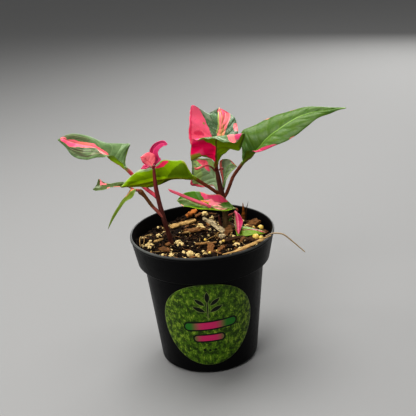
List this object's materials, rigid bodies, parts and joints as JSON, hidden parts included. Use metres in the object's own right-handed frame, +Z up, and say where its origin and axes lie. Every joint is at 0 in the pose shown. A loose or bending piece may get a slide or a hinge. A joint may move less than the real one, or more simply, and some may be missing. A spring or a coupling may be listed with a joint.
{
  "type": "potted calico plant",
  "caption": "Young variegated pink and green foliage plants with upright stems, standing in a round tapered black nursery pot full of potting mix, with a round label.",
  "frame": {"origin": "middle of the pot's flat bottom", "axes": "+Z up along the pot's axis, -Y towards the label and the viewer of the picture, +X to the viewer's right"},
  "size_m": [0.1948, 0.1, 0.1761],
  "materials": {
    "pot_plastic": "satin black",
    "label_paper": "glossy printed green",
    "potting_mix": "rough and damp",
    "stem": "satin bark",
    "leaf_green": "waxy, green with pink areas",
    "leaf_pink": "waxy pink",
    "bark": "rough and dry"
  },
  "bodies": {
    "root": {"bark_strip": "bark", "dry_root": "bark", "label": "label_paper", "leaf_bud": "leaf_pink", "leaf_droop": "leaf_green", "leaf_far_left": "leaf_green", "leaf_front_underside": "leaf_green", "leaf_furled": "leaf_pink", "leaf_ground_green": "leaf_green", "leaf_hanging_magenta": "leaf_pink", "leaf_left_large": "leaf_green", "leaf_low_left": "leaf_green", "leaf_low_right": "leaf_green", "leaf_lower_front": "leaf_green", "leaf_right_large": "leaf_green", "leaf_shoot": "leaf_green", "leaf_shrivelled": "leaf_pink", "leaf_top_back": "leaf_green", "leaf_top_front": "leaf_green", "leaf_young_curled": "leaf_pink", "leaf_young_magenta": "leaf_pink", "leaf_young_salmon": "leaf_pink", "pot": "pot_plastic", "potting_mix": "potting_mix", "stem_left": "stem", "stem_right": "stem", "stem_thin": "stem"}
  },
  "joints": []
}
